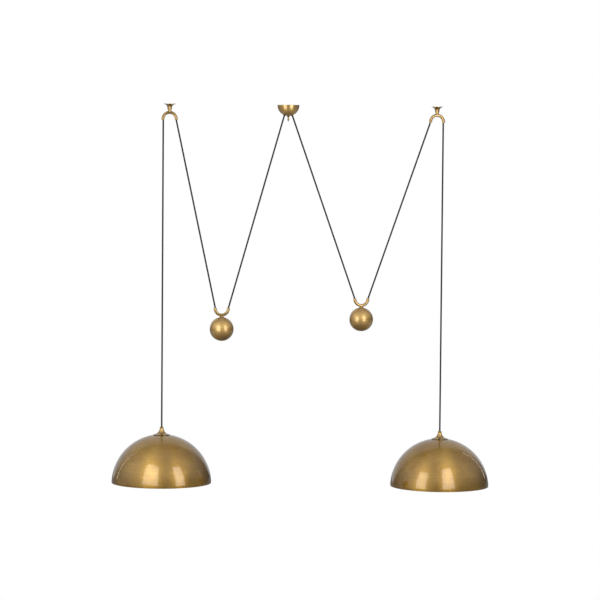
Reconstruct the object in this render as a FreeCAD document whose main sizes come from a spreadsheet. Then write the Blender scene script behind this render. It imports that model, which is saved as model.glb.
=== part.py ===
import FreeCAD, Part
import math
import os
import Sketcher

# Rise and fall pendant: a ceiling canopy feeds two textile cords. Each cord runs down to a
# solid ball, through the bent tube that carries the ball, up over a ceiling hook and down
# to a dome shade. The ball balances the shade, which stays where it is pulled or pushed to.
#
# Millimetres. The origin is the middle of the canopy on the ceiling, +Z is up and the two
# hooks lie along X. "left" is the -X side.

SIZES = {
    # cord and the bent tubes that it slides through
    "cord_diameter": 6.0,
    "cord_clearance": 0.3,
    "tube_diameter": 11.0,
    "tube_wall": 1.0,
    "bend_radius": 24.0,
    "hook_outer_tail": 3.4,
    "hook_inner_tail": 2.0,
    "yoke_tail": 2.0,
    "entry_length": 12.0,
    # ceiling canopy
    "canopy_radius": 40.0,
    "canopy_wall": 1.0,
    "cord_offset": 14.5,
    "bushing_wall": 0.9,
    "bushing_outside": 1.0,
    "bushing_inside": 4.0,
    "bushing_flange_width": 1.8,
    "bushing_flange_thickness": 1.2,
    "rod_radius": 2.0,
    "rod_clearance": 0.2,
    "strap_clearance": 3.17,
    "strap_width": 16.0,
    "strap_thickness": 2.0,
    "slot_width": 4.5,
    "slot_length": 8.0,
    "slot_web": 1.5,
    "earth_screw_edge": 3.5,
    "earth_screw_radius": 2.0,
    "earth_head_radius": 3.4,
    "earth_head_height": 2.4,
    "housing_length": 34.0,
    "housing_width": 26.0,
    "housing_height": 12.0,
    "housing_corner": 3.0,
    "socket_offset": 12.0,
    "socket_depth": 8.0,
    "socket_clearance": 0.2,
    "tail_bend_radius": 18.0,
    "terminal_pitch": 8.0,
    "terminal_offset": 10.5,
    "terminal_hole_radius": 1.5,
    "terminal_hole_depth": 5.0,
    "terminal_head_radius": 2.2,
    "terminal_head_height": 1.4,
    "nut_flats": 7.0,
    "nut_height": 3.2,
    "washer_radius": 4.2,
    "washer_thickness": 3.8,
    "finial_collar_radius": 3.3,
    "finial_collar_height": 1.2,
    "finial_neck_radius": 2.6,
    "finial_neck_height": 3.6,
    "finial_bead_radius": 3.7,
    "finial_bead_height": 5.5,
    "finial_tip_radius": 1.0,
    "finial_tip_height": 5.5,
    "finial_bore_depth": 8.0,
    # ceiling hooks
    "left_hook_x": 430.0,
    "right_hook_x": 547.0,
    "hook_length": 55.0,
    "flange_radius": 21.75,
    "flange_edge": 1.6,
    "flange_waist_radius": 8.9,
    "flange_waist_depth": 11.0,
    "flange_flare_radius": 13.0,
    "flange_foot_radius": 7.9,
    "flange_foot_height": 3.0,
    "flange_height": 17.0,
    "stud_hole_radius": 2.5,
    "stud_hole_depth": 14.0,
    "collar_radius": 8.3,
    "collar_height": 3.0,
    "stem_radius": 6.6,
    "stem_foot_radius": 5.4,
    "stem_bite": 3.0,
    # counterweights
    "left_ball_x": 237.3,
    "left_ball_depth": 810.8,
    "right_ball_x": 273.7,
    "right_ball_depth": 775.9,
    "ball_radius": 43.4,
    "yoke_gap": 1.6,
    "saddle_radius": 9.0,
    "saddle_edge": 0.4,
    "saddle_flare_radius": 6.0,
    "saddle_neck_radius": 5.2,
    "spigot_radius": 4.0,
    "spigot_length": 12.0,
    "spigot_clearance": 0.1,
    # dome shades
    "left_rim_depth": 1367.0,
    "right_rim_depth": 1389.0,
    "dome_radius": 180.0,
    "dome_height": 175.0,
    "dome_wall": 0.75,
    "rim_band": 8.0,
    "rim_fold": 2.5,
    "cone_height": 27.0,
    "cone_flange_radius": 30.0,
    "cone_flange_edge": 1.0,
    "cone_dish": 1.2,
    "cone_waist_radius": 12.0,
    "cone_waist_height": 9.0,
    "cone_flare_radius": 26.0,
    "cone_neck_radius": 40.0,
    "cone_collar_radius": 6.7,
    "cone_collar_height": 6.0,
    "cone_thread_depth": 14.0,
    "nipple_radius": 5.0,
    "nipple_bore": 3.5,
    "nipple_length": 26.0,
    "thread_clearance": 0.1,
    "dome_washer_radius": 10.0,
    "dome_washer_thickness": 1.0,
    "lock_nut_flats": 14.0,
    "lock_nut_height": 3.0,
    "holder_neck_radius": 9.0,
    "holder_radius": 20.5,
    "holder_wall": 1.2,
    "cap_height": 20.0,
    "cap_shoulder": 7.0,
    "cap_roof": 1.8,
    "skirt_height": 32.0,
    "skirt_lip": 3.6,
    "insert_clearance": 0.3,
    "insert_wall": 3.4,
    "insert_floor": 6.0,
    "well_radius": 8.0,
    "well_depth": 4.5,
    "shell_bore": 13.3,
    "shell_wall": 0.5,
    "shell_height": 20.0,
    "contact_radius": 4.0,
    "contact_height": 3.0,
    "clamp_radius": 7.0,
    "clamp_height": 6.0,
}

SIDES = {"left": -1, "right": 1}
UP = FreeCAD.Vector(0, 0, 1)
X_AXIS = FreeCAD.Vector(1, 0, 0)
Y_AXIS = FreeCAD.Vector(0, 1, 0)
QUARTER_TURN = 90
HALF_TURN = 180
FULL_TURN = 360
HEX_SIDES = 6
TERMINAL_PLACES = (-1, 0, 1)

doc = FreeCAD.newDocument("rise_and_fall_pendant")
sheet = doc.addObject("Spreadsheet::Sheet", "sizes")
finished = []


# ---------------------------------------------------------------- sizes and formulas


class Size:
    """A number together with the spreadsheet formula that gives it."""

    def __init__(self, value, formula):
        self.value = float(value)
        self.formula = formula

    def joined(self, sign, other, value):
        return Size(value, "({} {} {})".format(self.formula, sign, as_size(other).formula))

    def __add__(self, other):
        return self.joined("+", other, self.value + as_size(other).value)

    def __sub__(self, other):
        return self.joined("-", other, self.value - as_size(other).value)

    def __mul__(self, other):
        return self.joined("*", other, self.value * as_size(other).value)

    def __truediv__(self, other):
        return self.joined("/", other, self.value / as_size(other).value)

    def __neg__(self):
        return Size(-self.value, "(-{})".format(self.formula))


def as_size(number):
    """A plain number as a Size."""
    if isinstance(number, Size):
        return number
    return Size(number, "({})".format(number))


def root(size):
    """The square root of a Size."""
    return Size(math.sqrt(size.value), "sqrt({})".format(size.formula))


def height_on_sphere(sphere_radius, distance):
    """How far above its middle a sphere lies at a distance from its axis."""
    return root(sphere_radius * sphere_radius - distance * distance)


def write_cell(alias, value):
    """Adds one named number to the sheet."""
    row = len(sheet.getUsedCells()) // 2 + 1
    sheet.set("A{}".format(row), alias)
    sheet.set("B{}".format(row), repr(float(value)))
    sheet.setAlias("B{}".format(row), alias)
    SIZES[alias] = value


def size(alias):
    """A size of the sheet, with its formula."""
    return Size(SIZES[alias], "sizes." + alias)


def bind(thing, path, value):
    """Ties one property of a document object to the sheet."""
    thing.setExpression(path, as_size(value).formula)


def place(thing, x=0, y=0, z=0, axis=UP, turn=0):
    """Puts a sub-part at a place of the sheet, turned about an axis."""
    thing.Placement = FreeCAD.Placement(FreeCAD.Vector(0, 0, 0), FreeCAD.Rotation(axis, as_size(turn).value))
    bind(thing, "Placement.Base.x", x)
    bind(thing, "Placement.Base.y", y)
    bind(thing, "Placement.Base.z", z)
    if isinstance(turn, Size):
        bind(thing, "Placement.Rotation.Angle", turn)
    return thing


def finish(thing, label):
    """Names a finished sub-part."""
    thing.Label = label
    finished.append(thing)
    return thing


# ---------------------------------------------------------------- sketches and solids


def sketch_on(body, name, role):
    """A sketch on one of a body's own origin planes."""
    sketch = body.newObject("Sketcher::SketchObject", name)
    plane = [feature for feature in body.Origin.OriginFeatures if feature.Role == role][0]
    sketch.AttachmentSupport = (plane, [""])
    sketch.MapMode = "FlatFace"
    return sketch


def tie_point(sketch, geometry, point, corner, name):
    """Ties a point of a sketch to its two coordinates."""
    for kind, value, letter in (("DistanceX", corner[0], "x"), ("DistanceY", corner[1], "y")):
        value = as_size(value)
        index = sketch.addConstraint(Sketcher.Constraint(kind, -1, 1, geometry, point, value.value))
        sketch.renameConstraint(index, name + letter)
        bind(sketch, "Constraints." + name + letter, value)


def arc_between(start, end, radius, turning):
    """The short arc from start to end: turning is 1 counter-clockwise, -1 clockwise."""
    middle = (start + end) * 0.5
    chord = end - start
    side = FreeCAD.Vector(-chord.y, chord.x, 0) * (turning / chord.Length)
    centre = middle + side * math.sqrt(max(radius ** 2 - (chord.Length / 2) ** 2, 0))
    first, last = (start, end) if turning > 0 else (end, start)
    first_angle = math.atan2(first.y - centre.y, first.x - centre.x)
    last_angle = math.atan2(last.y - centre.y, last.x - centre.x)
    if last_angle < first_angle:
        last_angle += 2 * math.pi
    return Part.ArcOfCircle(Part.Circle(centre, UP, radius), first_angle, last_angle)


def draw_outline(sketch, corners, arcs):
    """Draws a closed outline. arcs gives some segments' radius and turning, by the corner they leave."""
    points = [FreeCAD.Vector(as_size(x).value, as_size(y).value, 0) for x, y in corners]
    ends = []
    for index, start in enumerate(points):
        end = points[(index + 1) % len(points)]
        if index in arcs:
            radius, turning = arcs[index]
            geometry = sketch.addGeometry(arc_between(start, end, as_size(radius).value, turning), False)
            ends.append((geometry, 1, 2) if turning > 0 else (geometry, 2, 1))
            number = sketch.addConstraint(Sketcher.Constraint("Radius", geometry, as_size(radius).value))
            sketch.renameConstraint(number, "radius{}".format(index))
            bind(sketch, "Constraints.radius{}".format(index), radius)
        else:
            geometry = sketch.addGeometry(Part.LineSegment(start, end), False)
            ends.append((geometry, 1, 2))
    for index, (geometry, first, last) in enumerate(ends):
        following, following_first, unused = ends[(index + 1) % len(ends)]
        sketch.addConstraint(Sketcher.Constraint("Coincident", geometry, last, following, following_first))
        tie_point(sketch, geometry, first, corners[index], "corner{}".format(index))


def draw_circle(sketch, radius, x=0, y=0):
    """Draws a circle whose middle and radius follow the sheet."""
    name = "circle{}".format(sketch.GeometryCount)
    middle = FreeCAD.Vector(as_size(x).value, as_size(y).value, 0)
    geometry = sketch.addGeometry(Part.Circle(middle, UP, as_size(radius).value), False)
    number = sketch.addConstraint(Sketcher.Constraint("Radius", geometry, as_size(radius).value))
    sketch.renameConstraint(number, name + "radius")
    bind(sketch, "Constraints." + name + "radius", radius)
    tie_point(sketch, geometry, 3, (x, y), name)


def new_body(name):
    return doc.addObject("PartDesign::Body", name)


def turned(name, corners, arcs=None):
    """A piece turned on a lathe about Z, from the outline of one half of it."""
    body = new_body(name)
    sketch = sketch_on(body, name + "_outline", "XZ_Plane")
    draw_outline(sketch, corners, arcs or {})
    turning = body.newObject("PartDesign::Revolution", name + "_turning")
    turning.Profile = sketch
    turning.ReferenceAxis = (sketch, ["V_Axis"])
    turning.Angle = FULL_TURN
    return body


def cylinder(name, radius, height, x=0, y=0, z=0, axis=UP, turn=0):
    """A plain cylinder that stands on its place."""
    thing = doc.addObject("Part::Cylinder", name)
    bind(thing, "Radius", radius)
    bind(thing, "Height", height)
    return place(thing, x, y, z, axis, turn)


def box(name, length, width, height, x, y, z):
    """A box whose place is its lowest corner."""
    thing = doc.addObject("Part::Box", name)
    bind(thing, "Length", length)
    bind(thing, "Width", width)
    bind(thing, "Height", height)
    return place(thing, x, y, z)


def cut(name, base, tools):
    """A piece with the tools' shapes taken out of it."""
    tool = tools[0]
    if len(tools) > 1:
        tool = doc.addObject("Part::MultiFuse", name + "_tools")
        tool.Shapes = tools
    result = doc.addObject("Part::Cut", name)
    result.Base = base
    result.Tool = tool
    return result


def group(name, pieces):
    """Several separate solids in one sub-part."""
    result = doc.addObject("Part::Compound", name)
    result.Links = pieces
    return result


def hex_nut(name, flats, height, bore, x, z):
    """A nut with a corner on each side along Y, so that its flats face along X."""
    blank = doc.addObject("Part::Prism", name + "_blank")
    blank.Polygon = HEX_SIDES
    bind(blank, "Circumradius", flats / math.sqrt(3))
    bind(blank, "Height", height)
    place(blank, x, 0, z, UP, FULL_TURN / HEX_SIDES / 2)
    return cut(name, blank, [cylinder(name + "_bore", bore, height, x, 0, z)])


# ---------------------------------------------------------------- cords


def cord_path(points, radii):
    """A path of straight runs, with a tangent arc of the given radius at each inner point."""
    edges = []
    here = points[0]
    for index, radius in enumerate(radii):
        corner = points[index + 1]
        incoming = (corner - here).normalize()
        outgoing = (points[index + 2] - corner).normalize()
        turn = incoming.getAngle(outgoing)
        setback = radius * math.tan(turn / 2)
        begin = corner - incoming * setback
        end = corner + outgoing * setback
        inward = (outgoing - incoming).normalize()
        middle = corner + inward * (radius / math.cos(turn / 2) - radius)
        edges.append(Part.LineSegment(here, begin))
        edges.append(Part.Arc(begin, middle, end))
        here = end
    edges.append(Part.LineSegment(here, points[-1]))
    return Part.Wire([edge.toShape() for edge in edges])


def sweep_cord(label, wire):
    """A length of cord along a path, checked against its section times its length."""
    radius = SIZES["cord_diameter"] / 2
    first = wire.OrderedEdges[0]
    start = first.valueAt(first.FirstParameter)
    section = Part.Wire(Part.makeCircle(radius, start, first.tangentAt(first.FirstParameter)))
    shape = wire.makePipeShell([section], True, False)
    expected = math.pi * radius ** 2 * wire.Length
    tightest = [edge.Curve.Radius for edge in wire.Edges if hasattr(edge.Curve, "Radius")]
    print("{}: {:.1f} mm long, arcs {}, volume {:.4f} of the section times the length".format(
        label, wire.Length, [round(value, 2) for value in tightest], shape.Volume / expected))
    thing = doc.addObject("Part::Feature", label)
    thing.Shape = shape
    return finish(thing, label)


def lean_between(across, down, reach):
    """The lean from upright, in degrees, of a taut cord that touches a circle of radius reach."""
    return math.degrees(math.atan2(across, down) - math.asin(reach / math.hypot(across, down)))


def leaning(lean, side):
    """The upward direction of a cord that leans towards side, -1 or 1, by lean degrees."""
    return FreeCAD.Vector(side * math.sin(math.radians(lean)), 0, math.cos(math.radians(lean)))


def bend_ends(lean, tail):
    """Where a cord that leans away leaves its bend, and where it leaves the tube's mouth.

    Both are measured from the middle of an upright arch, outwards and upwards.
    """
    angle = math.radians(lean)
    radius = SIZES["cord_bend_radius"]
    touch = FreeCAD.Vector(radius * math.cos(angle), 0, radius * math.sin(angle))
    run = (touch.z + tail) / math.cos(angle)
    mouth = FreeCAD.Vector(touch.x + run * math.sin(angle), 0, -tail)
    return touch, mouth


def bend_wire(left_lean, left_tail, right_lean, right_tail):
    """The cord's path through an upright arch: a run, the arch and a run."""
    left_touch, left_mouth = bend_ends(left_lean, left_tail)
    right_touch, right_mouth = bend_ends(right_lean, right_tail)
    for point in (left_touch, left_mouth):
        point.x = -point.x
    crown = FreeCAD.Vector(0, 0, SIZES["cord_bend_radius"])
    edges = [
        Part.LineSegment(left_mouth, left_touch),
        Part.Arc(left_touch, crown, right_touch),
        Part.LineSegment(right_touch, right_mouth),
    ]
    return Part.Wire([edge.toShape() for edge in edges])


def vector(x, z):
    return FreeCAD.Vector(as_size(x).value, 0, as_size(z).value)


# ---------------------------------------------------------------- worked-out sizes

for alias, value in list(SIZES.items()):
    write_cell(alias, value)

cord_radius = size("cord_diameter") / 2
tube_radius = size("tube_diameter") / 2
tube_bore = tube_radius - size("tube_wall")

# Pulled tight, the cord lies against the inner side of each bend.
write_cell("cord_bend_radius", (size("bend_radius") - tube_bore + cord_radius + size("cord_clearance")).value)

cord_exit_depth = height_on_sphere(size("canopy_radius"), size("cord_offset"))
yoke_height = size("ball_radius") + size("yoke_gap") + tube_radius + size("bend_radius")

for side in SIDES:
    yoke_depth = size(side + "_ball_depth") - yoke_height
    inner_across = size(side + "_ball_x") - size("cord_offset")
    inner_down = yoke_depth - cord_exit_depth
    outer_across = size(side + "_hook_x") - size(side + "_ball_x")
    outer_down = yoke_depth - size("hook_length")
    reach = SIZES["cord_bend_radius"]
    write_cell(side + "_inner_lean", lean_between(inner_across.value, inner_down.value, reach))
    write_cell(side + "_outer_lean", lean_between(outer_across.value, outer_down.value, 2 * reach))


# ---------------------------------------------------------------- canopy


def make_canopy_bowl():
    """A spun half-sphere with a hole for the rod and one for each cord's bushing."""
    outer = size("canopy_radius")
    inner = outer - size("canopy_wall")
    hole = size("rod_radius") + size("rod_clearance")
    corners = [
        (outer, 0),
        (inner, 0),
        (hole, -height_on_sphere(inner, hole)),
        (hole, -height_on_sphere(outer, hole)),
    ]
    bowl = turned("bowl_spinning", corners, {1: (inner, -1), 3: (outer, 1)})
    drills = []
    for side, sign in SIDES.items():
        drill = cylinder(
            side + "_cord_drill", cord_radius + size("cord_clearance") + size("bushing_wall"),
            size("canopy_radius") / 2)
        place_at_cord_exit(drill, side, sign, -size("canopy_radius") / 4)
        drills.append(drill)
    finish(cut("canopy_bowl", bowl, drills), "canopy_bowl")


def place_at_cord_exit(thing, side, sign, slide_up):
    """Puts a piece on a cord's line where it leaves the canopy, slid up along the line."""
    lean = SIZES[side + "_inner_lean"]
    upward = leaning(lean, -sign)
    slide_up = as_size(slide_up)
    place(
        thing,
        size("cord_offset") * sign + slide_up * upward.x,
        0,
        -cord_exit_depth + slide_up * upward.z,
        Y_AXIS,
        size(side + "_inner_lean") * -sign,
    )


def make_cord_bushings():
    """Black bushings that line the canopy's cord holes, each with a flange inside."""
    bore = cord_radius + size("cord_clearance")
    barrel = bore + size("bushing_wall")
    flange = barrel + size("bushing_flange_width")
    low = -size("bushing_outside")
    high = size("bushing_inside")
    corners = [
        (bore, low),
        (barrel, low),
        (barrel, high - size("bushing_flange_thickness")),
        (flange, high - size("bushing_flange_thickness")),
        (flange, high),
        (bore, high),
    ]
    bushings = []
    for side, sign in SIDES.items():
        bushing = turned(side + "_bushing", corners)
        place_at_cord_exit(bushing, side, sign, 0)
        bushings.append(bushing)
    finish(group("cord_bushings", bushings), "cord_bushings")


def strap_reach():
    """Half of the strap's length: its corners stay clear of the bowl."""
    inner = size("canopy_radius") - size("canopy_wall")
    return height_on_sphere(inner, size("strap_width") / 2) - size("strap_clearance")


def earth_offset():
    return strap_reach() - size("earth_screw_edge")


def slot_offset():
    """How far each slot's middle is from the rod."""
    return earth_offset() - size("earth_screw_radius") - size("slot_web") - size("slot_length") / 2


def make_ceiling_bracket():
    """A steel strap against the ceiling: two screw slots, the rod's hole and the earth screw's."""
    strap = box(
        "strap_blank", strap_reach() * 2, size("strap_width"), size("strap_thickness"),
        -strap_reach(), -size("strap_width") / 2, -size("strap_thickness"))
    low = -size("strap_thickness") * 1.5
    deep = size("strap_thickness") * 2
    straight = size("slot_length") - size("slot_width")
    tools = [
        cylinder("strap_rod_hole", size("rod_radius"), deep, 0, 0, low),
        cylinder("strap_earth_hole", size("earth_screw_radius"), deep, -earth_offset(), 0, low),
    ]
    for side, sign in SIDES.items():
        middle = slot_offset() * sign
        tools.append(box(
            side + "_slot_run", straight, size("slot_width"), deep,
            middle - straight / 2, -size("slot_width") / 2, low))
        for end in (-1, 1):
            tools.append(cylinder(
                "{}_slot_end_{}".format(side, "low" if end < 0 else "high"),
                size("slot_width") / 2, deep, middle + straight * end / 2, 0, low))
    finish(cut("ceiling_bracket", strap, tools), "ceiling_bracket")


def make_earth_screw():
    """The earth screw: its shank fills the strap's tapped hole."""
    corners = [
        (0, 0),
        (size("earth_screw_radius"), 0),
        (size("earth_screw_radius"), -size("strap_thickness")),
        (size("earth_head_radius"), -size("strap_thickness")),
        (size("earth_head_radius"), -size("strap_thickness") - size("earth_head_height")),
        (0, -size("strap_thickness") - size("earth_head_height")),
    ]
    screw = turned("earth_screw_turned", corners)
    place(screw, -earth_offset())
    finish(screw, "earth_screw")


def make_terminal_housing():
    """A moulded housing under the strap: a socket for each cord, and six terminals."""
    length = size("housing_length")
    width = size("housing_width")
    height = size("housing_height")
    body = new_body("housing_moulding")
    footprint = sketch_on(body, "housing_footprint", "XY_Plane")
    draw_outline(footprint, [
        (-length / 2, -width / 2),
        (length / 2, -width / 2),
        (length / 2, width / 2),
        (-length / 2, width / 2),
    ], {})
    pad = body.newObject("PartDesign::Pad", "housing_block")
    pad.Profile = footprint
    bind(pad, "Length", height)
    doc.recompute()
    upright = [
        "Edge{}".format(number + 1)
        for number, edge in enumerate(pad.Shape.Edges)
        if abs(edge.tangentAt(edge.FirstParameter).z) > 0.99
    ]
    corners = body.newObject("PartDesign::Fillet", "housing_corners")
    corners.Base = (pad, upright)
    bind(corners, "Radius", size("housing_corner"))
    rod_way = sketch_on(body, "housing_rod_way", "XY_Plane")
    draw_circle(rod_way, size("rod_radius") + size("rod_clearance") * 2)
    bore = body.newObject("PartDesign::Pocket", "housing_rod_bore")
    bore.Profile = rod_way
    bore.Reversed = True
    bind(bore, "Length", height)
    sockets = sketch_on(body, "housing_socket_places", "XY_Plane")
    for sign in SIDES.values():
        draw_circle(sockets, cord_radius + size("socket_clearance"), size("socket_offset") * sign)
    socket = body.newObject("PartDesign::Pocket", "housing_sockets")
    socket.Profile = sockets
    socket.Reversed = True
    bind(socket, "Length", size("socket_depth"))
    terminals = sketch_on(body, "housing_terminal_places", "XY_Plane")
    bind(terminals, "AttachmentOffset.Base.z", height)
    for place_x in TERMINAL_PLACES:
        for row in (-1, 1):
            draw_circle(
                terminals, size("terminal_hole_radius"),
                size("terminal_pitch") * place_x, size("terminal_offset") * row)
    holes = body.newObject("PartDesign::Pocket", "housing_terminal_holes")
    holes.Profile = terminals
    bind(holes, "Length", size("terminal_hole_depth"))
    place(body, 0, 0, -size("strap_thickness") - height)
    finish(body, "terminal_housing")


def make_terminal_screws():
    """Six screw heads under the housing, one below each terminal."""
    low = -size("strap_thickness") - size("housing_height") - size("terminal_head_height")
    heads = []
    for place_x in TERMINAL_PLACES:
        for row in (-1, 1):
            heads.append(cylinder(
                "terminal_head_{}".format(len(heads) + 1), size("terminal_head_radius"),
                size("terminal_head_height"), size("terminal_pitch") * place_x,
                size("terminal_offset") * row, low))
    finish(group("terminal_screws", heads), "terminal_screws")


def make_canopy_rod():
    """The rod from the strap down through the bowl, its nut, the washer and the finial."""
    hole = size("rod_radius") + size("rod_clearance")
    bowl_low = height_on_sphere(size("canopy_radius"), hole)
    washer_low = bowl_low + size("washer_thickness")
    rod_low = washer_low + size("finial_bore_depth") - 1
    rod = cylinder("rod_bar", size("rod_radius"), rod_low, 0, 0, -rod_low)
    finish(rod, "canopy_rod")
    nut_low = size("strap_thickness") + size("housing_height") + size("nut_height")
    nut = hex_nut("rod_nut_cut", size("nut_flats"), size("nut_height"), size("rod_radius"), 0, -nut_low)
    finish(nut, "rod_nut")
    washer = turned("washer_pressing", [
        (hole, 0),
        (size("washer_radius"), 0),
        (size("washer_radius"), -size("washer_thickness")),
        (hole, -size("washer_thickness")),
    ])
    place(washer, 0, 0, -bowl_low)
    finish(washer, "canopy_washer")
    neck_low = size("finial_collar_height") + size("finial_neck_height")
    bead_low = neck_low + size("finial_bead_height")
    tip_low = bead_low + size("finial_tip_height")
    finial = turned("finial_turning", [
        (size("rod_radius"), 0),
        (size("finial_collar_radius"), 0),
        (size("finial_collar_radius"), -size("finial_collar_height")),
        (size("finial_neck_radius"), -size("finial_collar_height")),
        (size("finial_neck_radius"), -neck_low),
        (size("finial_bead_radius"), -neck_low - size("finial_bead_height") / 3),
        (size("finial_bead_radius"), -bead_low + size("finial_bead_height") / 3),
        (size("finial_tip_radius"), -tip_low),
        (0, -tip_low),
        (0, -size("finial_bore_depth")),
        (size("rod_radius"), -size("finial_bore_depth")),
    ])
    place(finial, 0, 0, -washer_low)
    finish(finial, "finial_knob")


def make_supply_tail(side, sign):
    """The cord inside the canopy: through its bushing, then upright into the housing."""
    lean = SIZES[side + "_inner_lean"]
    exit_point = vector(size("cord_offset") * sign, -cord_exit_depth)
    upward = leaning(lean, -sign)
    across = SIZES["cord_offset"] - SIZES["socket_offset"]
    knee = exit_point + upward * (across / math.sin(math.radians(lean)))
    top = vector(knee.x, -size("strap_thickness") - size("housing_height") + size("socket_depth"))
    sweep_cord(side + "_supply_tail", cord_path([exit_point, knee, top], [SIZES["tail_bend_radius"]]))


# ---------------------------------------------------------------- hooks


def make_bent_tube(name, tails):
    """A half circle of tube standing as an arch, with a straight tail below each end that has one."""
    body = new_body(name)
    ring = sketch_on(body, name + "_section", "XY_Plane")
    draw_circle(ring, tube_radius, size("bend_radius"))
    draw_circle(ring, tube_bore, size("bend_radius"))
    arch = body.newObject("PartDesign::Revolution", name + "_arch")
    arch.Profile = ring
    arch.ReferenceAxis = (ring, ["V_Axis"])
    arch.Reversed = True
    arch.Angle = HALF_TURN
    for end, tail in tails.items():
        section = sketch_on(body, "{}_{}_section".format(name, end), "XY_Plane")
        middle = size("bend_radius") * SIDES[end]
        draw_circle(section, tube_radius, middle)
        draw_circle(section, tube_bore, middle)
        straight = body.newObject("PartDesign::Pad", "{}_{}_tail".format(name, end))
        straight.Profile = section
        straight.Reversed = True
        bind(straight, "Length", tail)
    return body


def tube_envelope(name, x, z):
    """The outside of a whole ring of tube, to cope a stem to it."""
    ring = doc.addObject("Part::Torus", name)
    bind(ring, "Radius1", size("bend_radius"))
    bind(ring, "Radius2", tube_radius)
    return place(ring, x, 0, z, X_AXIS, QUARTER_TURN)


def make_hook(side, sign):
    """A ceiling hook: a turned trumpet flange, a stem and the bent tube, with the cord over it."""
    hook_x = size(side + "_hook_x") * sign
    flange = turned(side + "_flange_turning", [
        (size("stud_hole_radius"), 0),
        (size("flange_radius"), 0),
        (size("flange_radius"), -size("flange_edge")),
        (size("flange_waist_radius"), -size("flange_waist_depth")),
        (size("flange_foot_radius"), size("flange_foot_height") - size("flange_height")),
        (size("flange_foot_radius"), -size("flange_height")),
        (0, -size("flange_height")),
        (0, -size("stud_hole_depth")),
        (size("stud_hole_radius"), -size("stud_hole_depth")),
    ], {2: (size("flange_flare_radius"), 1)})
    place(flange, hook_x)
    finish(flange, side + "_hook_flange")

    tube_top = size("hook_length") - size("bend_radius") - tube_radius
    stem_low = tube_top + size("stem_bite")
    collar_low = size("flange_height") + size("collar_height")
    stem = turned(side + "_stem_turning", [
        (0, -size("flange_height")),
        (size("collar_radius"), -size("flange_height")),
        (size("collar_radius"), -collar_low),
        (size("stem_radius"), -collar_low),
        (size("stem_foot_radius"), -stem_low),
        (0, -stem_low),
    ])
    place(stem, hook_x)
    envelope = tube_envelope(side + "_hook_cope", hook_x, -size("hook_length"))
    finish(cut(side + "_hook_stem", stem, [envelope]), side + "_hook_stem")

    inner_end = "right" if side == "left" else "left"
    tails = {side: size("hook_outer_tail"), inner_end: size("hook_inner_tail")}
    tube = make_bent_tube(side + "_hook_bend", tails)
    place(tube, hook_x, 0, -size("hook_length"))
    finish(tube, side + "_hook_tube")

    wire = bend_wire(0, SIZES["hook_outer_tail"], SIZES[side + "_outer_lean"], SIZES["hook_inner_tail"])
    if sign > 0:
        wire.rotate(FreeCAD.Vector(0, 0, 0), UP, HALF_TURN)
    wire.translate(vector(hook_x, -size("hook_length")))
    sweep_cord(side + "_hook_cord", wire)


# ---------------------------------------------------------------- counterweights


def make_counterweight(side, sign):
    """A solid ball under a bent tube: the cord runs down into the tube and up out of it."""
    ball_x = size(side + "_ball_x") * sign
    ball_z = -size(side + "_ball_depth")
    seat = height_on_sphere(size("ball_radius"), size("saddle_radius"))
    bore = size("spigot_radius") + size("spigot_clearance")
    ball = turned(side + "_ball_turning", [
        (0, -size("ball_radius")),
        (size("saddle_radius"), seat),
        (bore, seat),
        (bore, seat - size("spigot_length") - 1),
        (0, seat - size("spigot_length") - 1),
    ], {0: (size("ball_radius"), 1)})
    place(ball, ball_x, 0, ball_z)
    finish(ball, side + "_ball")

    tube_low = size("ball_radius") + size("yoke_gap")
    saddle = turned(side + "_saddle_turning", [
        (0, seat - size("spigot_length")),
        (size("spigot_radius"), seat - size("spigot_length")),
        (size("spigot_radius"), seat),
        (size("saddle_radius"), seat),
        (size("saddle_radius"), seat + size("saddle_edge")),
        (size("saddle_neck_radius"), tube_low + size("yoke_gap")),
        (size("saddle_neck_radius"), tube_low + size("stem_bite")),
        (0, tube_low + size("stem_bite")),
    ], {4: (size("saddle_flare_radius"), -1)})
    place(saddle, ball_x, 0, ball_z)
    envelope = tube_envelope(side + "_yoke_cope", ball_x, ball_z + yoke_height)
    finish(cut(side + "_yoke_stem", saddle, [envelope]), side + "_yoke_stem")

    tube = make_bent_tube(side + "_yoke_bend", {"left": size("yoke_tail"), "right": size("yoke_tail")})
    place(tube, ball_x, 0, ball_z + yoke_height, X_AXIS, HALF_TURN)
    finish(tube, side + "_yoke_tube")

    inner_lean = SIZES[side + "_inner_lean"]
    outer_lean = SIZES[side + "_outer_lean"]
    leans = (outer_lean, inner_lean) if sign < 0 else (inner_lean, outer_lean)
    wire = bend_wire(leans[0], SIZES["yoke_tail"], leans[1], SIZES["yoke_tail"])
    wire.rotate(FreeCAD.Vector(0, 0, 0), X_AXIS, HALF_TURN)
    wire.translate(vector(ball_x, ball_z + yoke_height))
    sweep_cord(side + "_yoke_cord", wire)


# ---------------------------------------------------------------- taut cords


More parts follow.
